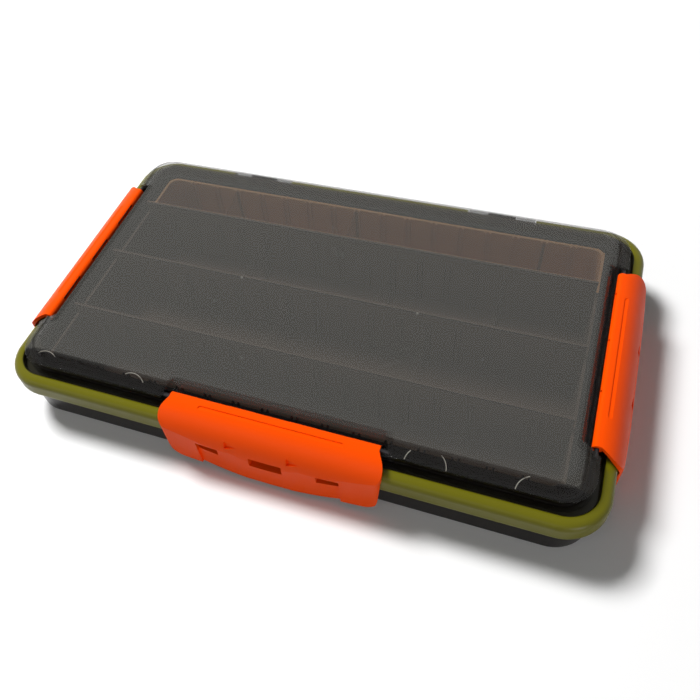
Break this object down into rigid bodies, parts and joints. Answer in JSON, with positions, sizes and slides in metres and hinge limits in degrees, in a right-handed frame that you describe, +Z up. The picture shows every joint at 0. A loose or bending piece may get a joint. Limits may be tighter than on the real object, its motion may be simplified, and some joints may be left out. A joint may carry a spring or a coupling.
{
  "type": "tackle box",
  "caption": "Flat smoked-plastic tackle box with a framed rim, hinged lid, latches on three sides, a rim seal and compartments with removable dividers.",
  "frame": {"origin": "centre of the box's overall footprint, latch faces included, on the table plane it rests on", "axes": "+X along the length, +Z up, -Y towards the front latch, the lid hinges at +Y"},
  "size_m": [0.3606, 0.2152, 0.0485],
  "materials": {
    "smoked_plastic": "semi-gloss smoked translucent moulding",
    "divider_plastic": "semi-gloss smoked translucent sheet",
    "olive_frame": "semi-gloss",
    "orange_latch": "satin gloss",
    "seal_rubber": "matte",
    "steel_pin": "drawn wire"
  },
  "bodies": {
    "root": {"base_tray": "smoked_plastic", "bead_frame": "olive_frame", "seal_ring": "seal_rubber", "left_hinge_pin": "steel_pin", "right_hinge_pin": "steel_pin", "divider_back_1": "divider_plastic", "divider_back_2": "divider_plastic", "divider_back_3": "divider_plastic", "divider_mid_back_1": "divider_plastic", "divider_mid_back_2": "divider_plastic", "divider_mid_back_3": "divider_plastic", "divider_mid_front_1": "divider_plastic", "divider_mid_front_2": "divider_plastic", "divider_mid_front_3": "divider_plastic", "divider_front_1": "divider_plastic", "divider_front_2": "divider_plastic", "divider_front_3": "divider_plastic"},
    "lid": {"lid": "smoked_plastic", "front_latch_pin": "steel_pin", "left_latch_pin": "steel_pin", "right_latch_pin": "steel_pin"},
    "front_latch": {"front_latch": "orange_latch"},
    "left_latch": {"left_latch": "orange_latch"},
    "right_latch": {"right_latch": "orange_latch"}
  },
  "joints": [
    {"name": "lid_hinge", "type": "hinge", "parent": "root", "child": "lid", "pos_m": [0, 0.10415, 0.0325], "axis": [-1, 0, 0], "range_deg": [0, 110]},
    {"name": "front_latch_hinge", "type": "hinge", "parent": "lid", "child": "front_latch", "pos_m": [0, -0.08995, 0.042], "axis": [-1, 0, 0], "range_deg": [0, 110]},
    {"name": "left_latch_hinge", "type": "hinge", "parent": "lid", "child": "left_latch", "pos_m": [-0.1626, 0.00215, 0.042], "axis": [0, 1, 0], "range_deg": [0, 110]},
    {"name": "right_latch_hinge", "type": "hinge", "parent": "lid", "child": "right_latch", "pos_m": [0.1626, 0.00215, 0.042], "axis": [0, -1, 0], "range_deg": [0, 110]}
  ]
}
